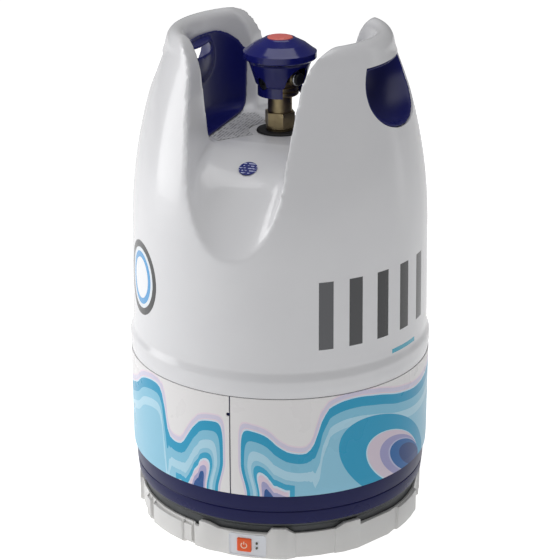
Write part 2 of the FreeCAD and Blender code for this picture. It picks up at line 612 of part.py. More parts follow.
def base_ring():
    """A shallow tray: a floor ledge, a deck, and a thin outer wall with raised clips."""
    hoop = turned("RingHoop", [
        ("ringInner - 7", "8"), ("ringInner", "8"), ("ringInner", "padHeight"),
        ("ringFoot", "padHeight"), ("ringHead", "padHeight + 5"), ("ringHead", "ringHigh"),
        ("ringHead - ringWall", "ringHigh"), ("ringHead - ringWall", "ringDeck"),
        ("ringInner", "ringDeck"), ("ringInner", "11.7"), ("ringInner - 7", "11.7")])
    pieces = [hoop]
    for number, (first, last, top, outer) in enumerate(RING_BLOCKS):
        low = "ringHigh - 8" if top > 32 else "padHeight + 1.4"
        pieces.append(ring_block(f"RingBlock{number}", first, last, low, top, "ringHead - ringWall", outer))
    solid = fuse("RingSolid", pieces)
    bay = ring_block("ElectronicsBay", "-1", "12.8", "6", "ringDeck + 2", "ringHead - 12", "ringHead + 1")
    slit = block("RingSlit", "0.8", "6", "22", "ringHead - 1.2", "15", "-18.1")
    subpart(cut("base_ring", solid, fuse("RingCuts", [bay, slit] + screw_holes("LedgeHole"))), "base_ring")
    subpart(ring_block("ring_clasp", "-22.6", "-18.7", "6", "24", "ringHead + 0.1", "ringHead + 1.9"),
            "ring_clasp")


def base_inside():
    cradle = turned("base_cradle", [
        ("110", "footHeight - 4.5"), ("ringInner + 6", "footHeight - 4.5"),
        ("ringInner + 6", "ringDeck + 2"), ("bandRadius", "ringDeck + 2"),
        ("bandRadius", "footHeight - 5"), ("footRadius - 2.6", "footHeight - 1.6"),
        ("footRadius - 2.6", "footHeight - 0.3"), ("110", "footHeight - 0.3")])
    subpart(cradle, "base_cradle")
    plate = turned("PlateDisc", [
        ("0", "12"), ("ringInner - 0.3", "12"), ("ringInner - 0.3", "15"), ("0", "15")])
    window = block("PlateWindow", "62", "38", "10", "70", "13", "180")
    subpart(cut("base_plate", plate, fuse("PlateHoles", screw_holes("PlateHole") + [window])), "base_plate")
    screws = []
    for x, y in SCREW_PLACES:
        head = rod("ScrewHead", "2.9", "2", x=x, y=y, z="15.1")
        shank = rod("ScrewShank", "1.5", "7", x=x, y=y, z="8.4")
        screws.append(fuse("Screw", [head, shank]))
    subpart(group("base_screws", screws), "base_screws")
    cells = [block(f"LoadCell{n}", "34", "12", "footHeight - 20", "112", "(footHeight - 20) / 2 + 15.2",
                   f"{n * 90 + 45}") for n in range(4)]
    subpart(group("load_cells", cells), "load_cells")
    pads = [rod(f"Pad{n}", "4.6", "padHeight", x=f"135.6 * cos({n * 45 + 10})",
                y=f"135.6 * sin({n * 45 + 10})") for n in range(8)]
    subpart(group("rubber_feet", pads), "rubber_feet")


def battery_bay():
    box = block("TrayOutside", "61", "37", "17", "70.5", "20.8", "180")
    room = block("TrayRoom", "57", "33", "20", "72.5", "17.3", "180")
    subpart(cut("battery_tray", box, room), "battery_tray")
    cells = [rod(f"Cell{n}", "7", "50", x="-25", y=f"81 + {n} * 15.6", z="19.4", axis="X")
             for n in range(2)]
    subpart(group("battery_cells", cells), "battery_cells")
    subpart(block("battery_cover", "66", "42", "2", "68", "10.6", "180"), "battery_cover")


def control_unit():
    face = ring_block("PanelFace", "-1.5", "13.2", "padHeight + 3.6", "28.5", "ringHead + 0.2",
                      "panelRadius")
    button_hole = block("ButtonHole", "buttonSide + 0.6", "12", "buttonSide + 0.6", "ringHead - 2",
                        "buttonHeight", "buttonTurn")
    lamp_heights = [f"buttonHeight - 2.6 + {n} * 5.2" for n in range(2)]
    lamp_holes = [rod("LampHole", "lampRadius + 0.15", "12", x="ringHead - 2", z=height,
                      axis="R", turn="lampTurn") for height in lamp_heights]
    subpart(cut("control_panel", face, fuse("PanelHoles", [button_hole] + lamp_holes)), "control_panel")
    button = block("ButtonBlock", "buttonSide", "4", "buttonSide", "ringHead + 0.8", "buttonHeight",
                   "buttonTurn")
    soft = rounded_edges("power_button", button, "1", lambda edge: True)
    subpart(soft, "power_button")
    lamps = [rod("Lamp", "lampRadius", "3.6", x="panelRadius - 3", z=height, axis="R", turn="lampTurn")
             for height in lamp_heights]
    subpart(group("status_lamps", lamps), "status_lamps")
    board = block("circuit_board", "30", "1.6", "13", "ringHead - 11.4", "14", "5.9")
    subpart(board, "circuit_board")
    subpart(block("button_switch", "6", "3", "6", "ringHead - 9.4", "15", "buttonTurn"),
            "button_switch")
    spring = laid_outward(turned("button_spring", [
        ("2", "ringHead - 6.2"), ("2.8", "ringHead - 6.2"), ("2.8", "ringHead + 0.6"),
        ("2", "ringHead + 0.6")]), "buttonTurn", "buttonHeight")
    subpart(spring, "button_spring")


gas_vessel()
tank_solid = upper_casing()
handle_liners(tank_solid)
lower_casing()
graphic_sleeve()
labels()
valve_body()
valve_hood()
handwheel()
valve_inside()
outlet_and_relief()
overfill_guard()
base_ring()
base_inside()
battery_bay()
control_unit()


# ---- check and write ----------------------------------------------------------------------

def check():
    doc.recompute()
    failed = [item.Label for item in doc.Objects if "Invalid" in item.State or "Error" in item.State]
    if failed:
        raise RuntimeError(f"these objects failed: {failed}")
    for item in SUBPARTS:
        if item.Shape.isNull() or not item.Shape.isValid() or item.Shape.Volume <= 0:
            raise RuntimeError(f"{item.Label} has no valid shape")
        print(f"{item.Label:24s} {len(item.Shape.Solids)} solids {item.Shape.Volume / 1000:9.1f} cm3")


check()
os.makedirs("parts", exist_ok=True)
for item in SUBPARTS:
    item.Shape.exportStep(f"parts/{item.Label}.step")
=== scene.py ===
"""Looks of a composite gas cylinder with two horn handles, standing in a level-sensing base ring."""

import json
import math

import bpy
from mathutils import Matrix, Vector

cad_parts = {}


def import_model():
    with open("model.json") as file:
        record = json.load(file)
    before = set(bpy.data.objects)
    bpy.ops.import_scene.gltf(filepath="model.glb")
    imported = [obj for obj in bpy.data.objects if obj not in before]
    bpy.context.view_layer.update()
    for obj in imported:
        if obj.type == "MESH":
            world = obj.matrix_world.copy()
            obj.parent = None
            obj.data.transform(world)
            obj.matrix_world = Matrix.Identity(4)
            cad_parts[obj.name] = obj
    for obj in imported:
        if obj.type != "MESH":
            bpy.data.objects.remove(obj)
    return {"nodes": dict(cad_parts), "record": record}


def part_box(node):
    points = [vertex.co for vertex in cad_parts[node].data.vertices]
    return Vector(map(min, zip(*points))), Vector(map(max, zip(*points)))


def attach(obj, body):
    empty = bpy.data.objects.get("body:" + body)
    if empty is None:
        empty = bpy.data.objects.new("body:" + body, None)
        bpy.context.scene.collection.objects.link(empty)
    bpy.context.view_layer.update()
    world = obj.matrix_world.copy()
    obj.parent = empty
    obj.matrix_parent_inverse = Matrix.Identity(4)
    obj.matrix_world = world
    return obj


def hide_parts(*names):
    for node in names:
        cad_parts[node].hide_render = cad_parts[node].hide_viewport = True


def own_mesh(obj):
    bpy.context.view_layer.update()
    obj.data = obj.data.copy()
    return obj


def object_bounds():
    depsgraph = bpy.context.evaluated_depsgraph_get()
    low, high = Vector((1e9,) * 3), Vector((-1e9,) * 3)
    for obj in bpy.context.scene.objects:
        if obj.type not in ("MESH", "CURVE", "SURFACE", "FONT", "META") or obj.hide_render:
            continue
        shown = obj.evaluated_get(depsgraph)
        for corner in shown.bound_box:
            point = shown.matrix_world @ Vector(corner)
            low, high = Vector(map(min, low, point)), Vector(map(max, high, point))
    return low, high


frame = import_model()
cad_low, cad_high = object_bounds()

# Sizes are in millimetres, as on the drawing, and MM turns them to metres.
# A turn is an angle in degrees counted from the front, towards +X.
MM = 0.001
BODY_RADIUS = 152.5
SEAM = 178.4
SHOULDER = 302
SHOULDER_RADIUS = 148.3
SHOULDER_ARC = 500
FLOOR = 401
TOP = 506
# Each scoop leaves the collar's floor at SCOOP_FLAT from the axis and reaches SCOOP_LIP at the skin.
SCOOP_FLAT = 40
SCOOP_END = 148.5
SCOOP_LIP = 313
SCOOP_HALF = 47
SCOOP_FULL = 0.92
SCOOP_BEND = 112
SCOOP_BEND_DEPTH = 22.6
SCOOP_BEND_SLOPE = 0.72
# The horns' edges: where the walls start to flare outwards, and how far.
FLARE_FOOT = (53, 459)
FLARE_REACH = (31, 48.5)
# The hollow for the hand in each horn, and how far it leans for each mm it goes down.
CUP_CENTRE = (120, 0, 468)
CUP_SIZE = (42, 57, 43)
CUP_LEAN = 0.3
BAR_UNDER = 480
LINER_TOP = 488
WALL_RADIUS = 145.2
NEAR_AXIS = 0.0002


# ---- modelling helpers --------------------------------------------------------------------

def deselect():
    bpy.ops.object.select_all(action="DESELECT")


def take(piece):
    deselect()
    piece.select_set(True)
    bpy.context.view_layer.objects.active = piece


def set_in_place(piece):
    """Puts the object's place, turn and scale into its mesh."""
    take(piece)
    bpy.ops.object.transform_apply(location=True, rotation=True, scale=True)
    return piece


def sealed(piece):
    """Merges doubles and points the faces outwards."""
    take(piece)
    bpy.ops.object.mode_set(mode="EDIT")
    bpy.ops.mesh.select_all(action="SELECT")
    bpy.ops.mesh.remove_doubles(threshold=0.002 * MM)
    bpy.ops.mesh.normals_make_consistent(inside=False)
    bpy.ops.object.mode_set(mode="OBJECT")
    return piece


def modified(piece, kind, **settings):
    """Adds one modifier and applies it."""
    take(piece)
    modifier = piece.modifiers.new(kind.title(), kind)
    for name, value in settings.items():
        setattr(modifier, name, value)
    bpy.ops.object.modifier_apply(modifier=modifier.name)
    return piece


def carved(piece, cutter, operation="DIFFERENCE"):
    modified(piece, "BOOLEAN", operation=operation, solver="EXACT", object=cutter)
    bpy.data.objects.remove(cutter)
    return piece


def softened(piece, width, segments=2, angle=35):
    """Rounds the edges and smooths the faces."""
    modified(piece, "BEVEL", width=width * MM, segments=segments, limit_method="ANGLE",
             angle_limit=math.radians(angle))
    return smooth(piece)


def smooth(piece, angle=38):
    take(piece)
    bpy.ops.object.shade_smooth_by_angle(angle=math.radians(angle))
    return piece


def turned(name, outline, steps=144):
    """A round piece: one ring pulled from point to point of its outline of (radius, height)."""
    deselect()
    radius, height = outline[0]
    bpy.ops.mesh.primitive_circle_add(vertices=steps, radius=radius * MM, location=(0, 0, height * MM))
    piece = bpy.context.object
    piece.name = name
    set_in_place(piece)
    bpy.ops.object.mode_set(mode="EDIT")
    bpy.ops.mesh.select_all(action="SELECT")
    for (radius, height), (wider, higher) in zip(outline, outline[1:]):
        bpy.ops.mesh.extrude_region_move(
            TRANSFORM_OT_translate={"value": (0, 0, (higher - height) * MM)})
        grow = wider / radius
        bpy.ops.transform.resize(value=(grow, grow, 1), center_override=(0, 0, higher * MM))
    bpy.ops.object.mode_set(mode="OBJECT")
    return sealed(piece)


def from_rings(name, rings, closed=False):
    """A mesh of equal rings of points in mm, each joined to the next. Its open ends are capped."""
    count = len(rings[0])
    points = [Vector(point) * MM for ring in rings for point in ring]
    faces = []
    last = len(rings) if closed else len(rings) - 1
    for row in range(last):
        after = (row + 1) % len(rings)
        for column in range(count):
            beside = (column + 1) % count
            faces.append((row * count + column, row * count + beside,
                          after * count + beside, after * count + column))
    if not closed:
        faces.append(tuple(range(count)))
        faces.append(tuple(range((len(rings) - 1) * count, len(rings) * count)))
    mesh = bpy.data.meshes.new(name)
    mesh.from_pydata(points, [], faces)
    piece = bpy.data.objects.new(name, mesh)
    bpy.context.scene.collection.objects.link(piece)
    return sealed(piece)


def on_turn(radius, turn, height):
    angle = math.radians(turn)
    return (radius * math.sin(angle), -radius * math.cos(angle), height)


def arc(centre, radii, first, last, steps):
    """Points of an ellipse's arc, as (radius, height), from one angle to another in degrees."""
    points = []
    for step in range(steps + 1):
        angle = math.radians(first + (last - first) * step / steps)
        points.append((centre[0] + radii[0] * math.cos(angle), centre[1] + radii[1] * math.sin(angle)))
    return points


def joined(name, pieces):
    take(pieces[0])
    for piece in pieces[1:]:
        piece.select_set(True)
    bpy.ops.object.join()
    pieces[0].name = name
    return pieces[0]


# ---- upper casing -------------------------------------------------------------------------

def arched(height):
    """The horns' outer radius above the shoulder."""
    rise = height - SHOULDER
    return SHOULDER_RADIUS - (SHOULDER_ARC - math.sqrt(SHOULDER_ARC ** 2 - rise ** 2))


WAIST = [(152.3, SEAM), (153.2, 186), (153.2, 196), (150.3, 203), (SHOULDER_RADIUS, SHOULDER)]


def outer_radius(height):
    if height >= SHOULDER:
        return arched(height)
    for (radius, low), (wider, high) in zip(WAIST, WAIST[1:]):
        if height <= high:
            share = max(height - low, 0) / (high - low)
            return radius + (wider - radius) * share
    return SHOULDER_RADIUS


def scoop_depth(run):
    """How far the scoop's middle lies under the collar's floor. Near the skin it falls steadily."""
    share = max(run - SCOOP_FLAT, 0) / (SCOOP_END - SCOOP_FLAT)
    past = run - SCOOP_BEND
    if past <= 0:
        return (FLOOR - SCOOP_LIP) * (1 - math.sqrt(1 - share ** 2)) + 0.4
    steeper = min(past, 10) ** 2 / 20 + max(past - 10, 0)
    return SCOOP_BEND_DEPTH + SCOOP_BEND_SLOPE * past + 1.27 * steeper


def bowl(depth):
    """The scoop's section, slightly fuller than an ellipse, as points of (across, height)."""
    points = []
    for across, down in arc((0, 0), (1, 1), 180, 360, 24):
        points.append((SCOOP_HALF * math.copysign(abs(across) ** SCOOP_FULL, across),
                       FLOOR - depth * abs(down) ** SCOOP_FULL))
    return points


def scoop(side):
    """The trough in front of the valve or behind it: a round bowl, flared between the horns."""
    right = arc((FLARE_FOOT[0] + FLARE_REACH[0], FLARE_FOOT[1]), FLARE_REACH, 180, 90, 9)
    right.append((right[-1][0], TOP + 30))
    left = [(-x, z) for x, z in reversed(right)]
    rings = []
    for run in range(50, 161, 5):
        # Each section is bent back at its sides, to follow the casing's round skin.
        rings.append([(x, side * run * (1 - x ** 2 / 44000), z)
                      for x, z in bowl(scoop_depth(run)) + right + left])
    return from_rings("scoop", rings)


def hand_space(side, grow):
    """The hollow for the hand: an ellipsoid cut level under the bar, with its lower end leaned."""
    deselect()
    centre = (side * CUP_CENTRE[0] * MM, 0, CUP_CENTRE[2] * MM)
    bpy.ops.mesh.primitive_uv_sphere_add(segments=72, ring_count=48, radius=1, location=centre)
    cup = bpy.context.object
    cup.scale = [(half + grow) * MM for half in CUP_SIZE]
    set_in_place(cup)
    bpy.ops.object.mode_set(mode="EDIT")
    bpy.ops.mesh.select_all(action="SELECT")
    bpy.ops.mesh.bisect(plane_co=(0, 0, (BAR_UNDER + grow) * MM), plane_no=(0, 0, 1),
                        clear_outer=True, use_fill=True)
    bpy.ops.object.mode_set(mode="OBJECT")
    for vertex in cup.data.vertices:
        vertex.co.y -= side * CUP_LEAN * (BAR_UNDER * MM - vertex.co.z)
    return cup


def upper_casing():
    """One white moulding with softly rounded horn rims, made as a solid and then smoothed."""
    outline = [(NEAR_AXIS, 168), (152.3, 168)] + WAIST
    outline += [(arched(height), height) for height in range(314, 491, 16)]
    outline += arc((101, 490), (arched(490) - 101, 16), 0, 90, 5) + [(NEAR_AXIS, TOP)]
    casing = turned("casing_upper", outline, 192)
    collar = turned("collar", [(NEAR_AXIS, FLOOR)] + arc((72, FLOOR + 14), (14.4, 14), -90, 0, 6)
                    + [(92, 497)] + arc((100.5, 497), (8.5, 9), 180, 90, 4)
                    + [(100.5, TOP + 30), (NEAR_AXIS, TOP + 30)])
    for cutter in (collar, scoop(-1), scoop(1)):
        carved(casing, cutter)
    modified(casing, "REMESH", mode="VOXEL", voxel_size=2.4 * MM)
    modified(casing, "SMOOTH", factor=0.5, iterations=7)
    for vertex in casing.data.vertices:
        radius = vertex.co.xy.length / MM
        height = vertex.co.z / MM
        target = outer_radius(height)
        if height < SHOULDER + 16 and abs(radius - target) < 2.5:
            hold = min(1, (SHOULDER + 16 - height) / 30)
            vertex.co.xy *= 1 + hold * (target / radius - 1)
    take(casing)
    bpy.ops.object.mode_set(mode="EDIT")
    bpy.ops.mesh.select_all(action="SELECT")
    bpy.ops.mesh.bisect(plane_co=(0, 0, SEAM * MM), plane_no=(0, 0, 1), clear_inner=True, use_fill=True)
    bpy.ops.object.mode_set(mode="OBJECT")
    vessel = turned("vessel_room", [(NEAR_AXIS, 160), (148.9, 160), (149.2, 196), (146.6, 203)]
                    + arc((0, 306), (145, 88), 0, 89.99, 16), 96)
    neck = turned("neck_room", [(NEAR_AXIS, 380), (23.4, 380), (23.4, 420), (NEAR_AXIS, 420)], 48)
    for cutter in (vessel, neck, hand_space(1, 3.3), hand_space(-1, 3.3)):
        carved(casing, cutter)
    return smooth(casing, 42)


casing = upper_casing()
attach(casing, "tank")
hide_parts("upper_casing")


# ---- navy liners in the horns -------------------------------------------------------------

def collar_room(inset):
    """The space between the horns, smaller than the white wall by inset, up to the liners' top."""
    return turned("collar_room", [(NEAR_AXIS, FLOOR + inset)]
                  + arc((72, FLOOR + 14), (14.2 - inset, 14 - inset), -90, 0, 6)
                  + [(91.4 - inset, LINER_TOP), (NEAR_AXIS, LINER_TOP)], 144)


def slab(name, outline, near, far):
    """A plate across X between two places, from its outline of (y, z)."""
    return from_rings(name, [[(x, y, z) for y, z in outline] for x in (near, far)])


def hand_liner(side):
    """A panel with round shoulders on the collar's wall, swelling into the cup for the hand."""
    liner = collar_room(0.4)
    carved(liner, collar_room(3.4))
    right_half = [(70, 396), (69, 440), (67, LINER_TOP - 36)]
    right_half += arc((35, LINER_TOP - 36), (32, 36), 0, 90, 9)
    left_half = [(-y, z) for y, z in reversed(right_half)]
    carved(liner, slab("liner_outline", right_half + left_half, side * 57, side * 118), "INTERSECT")
    carved(liner, hand_space(side, 3), "UNION")
    carved(liner, hand_space(side, 0))
    skin = [(arched(height) - 0.8, height) for height in range(390, 495, 8)]
    skin = turned("skin", [(NEAR_AXIS, 390)] + skin + [(NEAR_AXIS, 494)], 144)
    carved(liner, skin, "INTERSECT")
    # The slot under the bar, through which the fingers reach the space between the horns.
    slot = arc((14, 476), (8, 4), -90, 90, 6) + arc((-26, 476), (8, 4), 90, 270, 6)
    carved(liner, slab("slot", slot, side * 66, side * 100))
    modified(liner, "REMESH", mode="VOXEL", voxel_size=1.3 * MM)
    modified(liner, "SMOOTH", factor=0.5, iterations=20)
    return smooth(liner, 50)


liners = []
for side, word in ((1, "right"), (-1, "left")):
    liner = hand_liner(side)
    liner.name = "hand_liner_" + word
    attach(liner, "tank")
    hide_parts("handle_liner_" + word)
    liners.append(liner)


# ---- lower casing, with the groove round it -----------------------------------------------

def lower_casing():
    """A navy pan that curves in at its foot, with a thin groove round it and a spigot at the top."""
    outline = [(NEAR_AXIS, 41), (146.6, 41), (148.6, 43), (149.85, 55.3), (149.1, 55.7), (149.1, 56.5),
               (150, 56.9), (150.9, 73), (151.3, 80), (151.3, 178), (147.5, 178), (147.5, 190),
               (145.5, 190), (145.5, 174), (148.7, 170), (148.7, 74), (146, 45), (140.6, 43.6),
               (NEAR_AXIS, 43.6)]
    return softened(turned("casing_lower", outline, 192), 0.35, 2, 25)


pan = lower_casing()
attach(pan, "tank")
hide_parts("lower_casing")


# ---- plates laid round the ring -----------------------------------------------------------

def wrapped(piece, radius):
    """Lays a flat piece round the ring: x runs along the arc, y outwards, z up."""
    for vertex in piece.data.vertices:
        turn = vertex.co.x / (radius * MM)
        out = radius * MM + vertex.co.y
        vertex.co = (out * math.sin(turn), -out * math.cos(turn), vertex.co.z)
    return piece


def rounded_plate(name, middle, width, height, corner, back, front, columns=14):
    """A flat plate with round corners, standing up: middle is (x, z), back and front are y."""
    half_w = width / 2 - corner
    half_h = height / 2 - corner
    rim = []
    for side_x, side_z, first in ((1, -1, -90), (1, 1, 0), (-1, 1, 90), (-1, -1, 180)):
        rim += arc((middle[0] + side_x * half_w, middle[1] + side_z * half_h), (corner, corner),
                   first, first + 90, 5)
    plate = from_rings(name, [[(x, y, z) for x, z in rim] for y in (back, front)])
    take(plate)
    bpy.ops.object.mode_set(mode="EDIT")
    for column in range(1, columns):
        bpy.ops.mesh.select_all(action="SELECT")
        across = (middle[0] - width / 2 + width * column / columns) * MM
        bpy.ops.mesh.bisect(plane_co=(across, 0, 0), plane_no=(1, 0, 0))
    bpy.ops.object.mode_set(mode="OBJECT")
    return plate


panel_low, panel_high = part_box("control_panel")
button_low, button_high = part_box("power_button")
PANEL_RADIUS = 148.8
PANEL_TURN = 5.85
BUTTON_TURN = 4.7
LAMP_TURN = 9.6
PANEL_MIDDLE = (math.radians(PANEL_TURN) * PANEL_RADIUS, (panel_low.z + panel_high.z) / 2 / MM)
BUTTON_MIDDLE = (math.radians(BUTTON_TURN) * PANEL_RADIUS, (button_low.z + button_high.z) / 2 / MM)
LAMP_MIDDLE = math.radians(LAMP_TURN) * PANEL_RADIUS


# ---- base ring ----------------------------------------------------------------------------

# The wall's facets, from the front towards +X: turn, outer radius and top height at each corner.
FACETS = [
    (-50, 145.2, 28), (-50, 148, 24), (-46, 148, 24), (-46, 145.2, 28), (-42.6, 145.2, 28),
    (-42.3, 148.6, 25), (-23.4, 148.6, 25), (-22.8, 147.2, 26.5), (-22.6, 145.2, 28),
    (-18.7, 145.2, 28), (-17.2, 145.2, 28), (-17, 147.6, 30.5), (-16, 147.8, 32.5),
    (-10.8, 148.4, 33), (-6.2, 147.2, 29.6), (-2.2, 147.6, 29.8), (-2, 148.3, 29.8),
    (13.6, 148.3, 30), (15.4, 149, 36.3), (20.8, 149.2, 36.3),
    (22.4, 148.2, 33), (24.3, 146.8, 30), (24.6, 145.8, 30), (40.4, 145.8, 30), (40.7, 147, 30),
    (44.6, 148.2, 35), (51.2, 148.4, 35), (51.4, 148, 29), (67, 147.4, 29), (72.8, 145.6, 28),
    (73, 148.4, 27), (91, 148.4, 27), (91.4, 145.4, 28),
]
for middle in (113, 163, 213, 263):
    FACETS += [(middle - 9, 145.2, 28), (middle - 8.6, 147.2, 30), (middle - 5, 147.2, 30),
               (middle - 3, 148.8, 35), (middle + 3, 148.8, 35), (middle + 5, 147.2, 30),
               (middle + 8.6, 147.2, 30), (middle + 9, 145.2, 28),
               (middle + 18, 145.2, 28), (middle + 18.4, 148.4, 28),
               (middle + 33, 148.4, 28), (middle + 33.4, 145.2, 28)]


def ring_corners():
    """The facets' corners, with more points along the curved stretches."""
    loop = FACETS + [(FACETS[0][0] + 360,) + FACETS[0][1:]]
    corners = []
    for (turn, radius, top), (turn_after, radius_after, top_after) in zip(loop, loop[1:]):
        parts = max(1, round((turn_after - turn) / 6)) if radius == radius_after else 1
        for part in range(parts):
            share = part / parts
            corners.append((turn + (turn_after - turn) * share,
                            radius + (radius_after - radius) * share, top + (top_after - top) * share))
    return corners


def ring_block(name, radii, heights, turns):
    """A block that follows the ring, between two radii and two heights, with a section at each turn."""
    corners = [(radii[0], heights[0]), (radii[1], heights[0]), (radii[1], heights[1]),
               (radii[0], heights[1])]
    return from_rings(name, [[on_turn(r, turn, z) for r, z in corners] for turn in turns])


def base_ring():
    """A shallow tray whose thin outer wall is a loop of flat facets with a wavy top edge."""
    rings = []
    for turn, radius, top in ring_corners():
        wall_top = max(28, top)
        section = [(130, 1.2), (142, 1.2), (radius - 2.4, 1.6), (radius, 3.6), (radius, top),
                   (min(radius, WALL_RADIUS), top), (min(radius, WALL_RADIUS), wall_top + 0.01),
                   (143.2, wall_top + 0.01), (143.2, 22.5), (130, 22.5), (130, 11.7), (123, 11.7),
                   (123, 8), (130, 8)]
        rings.append([on_turn(r, turn, z) for r, z in section])
    ring = from_rings("base_ring_wall", rings, closed=True)
    bay = ring_block("bay", (133.2, 147), (6, 24.5), (-1, 2.4, 5.9, 9.3, 12.8))
    slit = ring_block("slit", (144.4, 152), (4, 34), (-18.3, -17.95))
    notch = ring_block("notch", (143, 152), (26, 36), (-17.4, -14.6))
    seat = wrapped(rounded_plate("panel_seat", PANEL_MIDDLE, 39.1, 24.6, 3.3, -3.7, 6), PANEL_RADIUS)
    for cutter in (bay, slit, notch, seat):
        carved(ring, cutter)
    return softened(ring, 0.45, 2, 20)


ring = base_ring()
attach(ring, "tank")
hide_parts("base_ring")


# ---- control panel, with its rim, and the mark on the button ------------------------------

def control_panel():
    """A pale plate with round corners and a thin raised rim, with openings for button and lamps."""
    plate = rounded_plate("panel_plate", PANEL_MIDDLE, 38, 23.6, 2.8, -3.4, -0.5)
    rim = rounded_plate("panel_rim", PANEL_MIDDLE, 38, 23.6, 2.8, -1.5, 0)
    carved(rim, rounded_plate("rim_room", PANEL_MIDDLE, 36.4, 22, 2.2, -6, 6))
    carved(plate, rounded_plate("button_room", BUTTON_MIDDLE, 15.1, 15.1, 1.7, -6, 6))
    for rise in (-2.6, 2.6):
        deselect()
        place = (LAMP_MIDDLE * MM, 0, (BUTTON_MIDDLE[1] + rise) * MM)
        bpy.ops.mesh.primitive_cylinder_add(vertices=24, radius=1.25 * MM, depth=12 * MM,
                                            location=place, rotation=(math.radians(90), 0, 0))
        carved(plate, set_in_place(bpy.context.object))
    plate = wrapped(joined("control_plate", [plate, rim]), PANEL_RADIUS)
    return smooth(plate)


panel = control_panel()
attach(panel, "tank")
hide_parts("control_panel")


def power_mark():
    """The usual sign for on and off: an open ring and a bar, printed just proud of the button."""
    ring_points = []
    across, rise = BUTTON_MIDDLE
    for step in range(29):
        angle = math.radians(125 + 290 * step / 28)
        ring_points.append([(across + r * math.cos(angle), out, rise + r * math.sin(angle))
                            for r, out in ((2.55, 1.1), (3.35, 1.1), (3.35, 1.45), (2.55, 1.45))])
    loop = from_rings("power_loop", ring_points)
    bar = rounded_plate("power_bar", (across, rise + 2.6), 0.85, 3.4, 0.4, 1.1, 1.45, 1)
    return joined("power_mark", [loop, bar])


mark = power_mark()
# The button's face is flat, so its mark is turned to face outwards and not bent.
turn = math.radians(BUTTON_TURN)
for vertex in mark.data.vertices:
    along = vertex.co.x - BUTTON_MIDDLE[0] * MM
    out = PANEL_RADIUS * MM + vertex.co.y
    vertex.co = (out * math.sin(turn) + along * math.cos(turn),
                 -out * math.cos(turn) + along * math.sin(turn), vertex.co.z)
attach(mark, "button")


# ---- springs by the button and the relief poppet -------------------------------------------

def coil_spring(name, foot, outward, height, radius, wire, coils):
    """A round wire wound from its foot along outward, whose ends are not ground."""
    along = Vector((outward[0], outward[1], 0)).normalized()
    across = along.cross(Vector((0, 0, 1)))
    steps = coils * 24
    rings = []
    for step in range(steps + 1):
        angle = math.radians(360 * coils * step / steps)
        spoke = across * math.cos(angle) + Vector((0, 0, math.sin(angle)))
        middle = Vector(foot) + along * (wire + (height - 2 * wire) * step / steps) + spoke * radius
        rings.append([middle + spoke * (wire * math.cos(t)) + along * (wire * math.sin(t))
                      for t in [math.radians(45 * side) for side in range(8)]])
    return smooth(from_rings(name, rings), 60)


RELIEF_OUT = (-0.5, -0.866025, 0)
BUTTON_OUT = (0.081939, -0.996637, 0)
relief_foot = Vector(RELIEF_OUT) * 11.7 + Vector((0, 0, 452))
button_foot = Vector(BUTTON_OUT) * 139.0 + Vector((0, 0, 17))
springs = []
# The standing end is so many mm from the foot, and keep is the share of the height left when pressed.
for name, foot, outward, height, radius, wire, coils, joint, standing_end, keep in (
        ("relief_coil", relief_foot, RELIEF_OUT, 7.5, 2.5, 0.35, 5, "relief_pop", 7.5, 0.83),
        ("button_coil", button_foot, BUTTON_OUT, 6.8, 2.35, 0.4, 4, "button_press", 0, 0.84)):
    spring = coil_spring(name, foot, outward, height, radius, wire, coils)
    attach(spring, "tank")
    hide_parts(name.replace("coil", "spring"))
    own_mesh(spring)
    springs.append(spring)


# ---- materials ----------------------------------------------------------------------------

def linear(code):
    """An sRGB hex colour as linear values."""
    parts = [int(code[place:place + 2], 16) / 255 for place in (0, 2, 4)]
    return [part / 12.92 if part <= 0.04045 else ((part + 0.055) / 1.055) ** 2.4 for part in parts] + [1]


def add(tree, kind, inputs=None, **settings):
    """Adds a node with its settings, fills its sockets and returns its first output."""
    node = tree.nodes.new("ShaderNode" + kind)
    for name, value in settings.items():
        setattr(node, name, value)
    for place, value in (inputs or {}).items():
        if isinstance(value, bpy.types.NodeSocket):
            tree.links.new(value, node.inputs[place])
        else:
            node.inputs[place].default_value = value
    return node.outputs[0]


def started(name):
    material = bpy.data.materials.new(name)
    material.use_nodes = True
    tree = material.node_tree
    shader = tree.nodes["Principled BSDF"]
    place = add(tree, "TexCoord").node.outputs["Object"]
    return material, tree, shader, place


def moulded(name, colour, roughness, grain=1.6, relief=0.04, coat=0.0, tint=None, colour_link=None,
            shine=0.5):
    """Injection-moulded plastic: a faint orange-peel relief and cloudy changes of shine."""
    material, tree, shader, place = started(name)
    shader.inputs["IOR"].default_value = 1.49
    shader.inputs["Specular IOR Level"].default_value = shine
    peel = add(tree, "TexNoise", {"Vector": place, "Scale": 1 / (grain * MM), "Detail": 2.0})
    clouds = add(tree, "TexNoise", {"Vector": place, "Scale": 1 / (38 * MM), "Detail": 3.0})
    gloss = add(tree, "MapRange", {"Value": clouds, "From Min": 0.3, "From Max": 0.7,
                                   "To Min": roughness * 0.86, "To Max": roughness * 1.16})
    tree.links.new(gloss, shader.inputs["Roughness"])
    bump = add(tree, "Bump", {"Strength": relief, "Distance": 0.2 * MM, "Height": peel})
    tree.links.new(bump, shader.inputs["Normal"])
    if colour_link is None:
        shade = add(tree, "MixRGB", {"Fac": clouds, "Color1": linear(colour),
                                     "Color2": linear(tint or colour)})
        tree.links.new(shade, shader.inputs["Base Color"])
    else:
        tree.links.new(colour_link(tree, place, linear(colour), linear(tint or colour), clouds),
                       shader.inputs["Base Color"])
    if coat:
        shader.inputs["Coat Weight"].default_value = coat
        shader.inputs["Coat Roughness"].default_value = 0.06
    return material


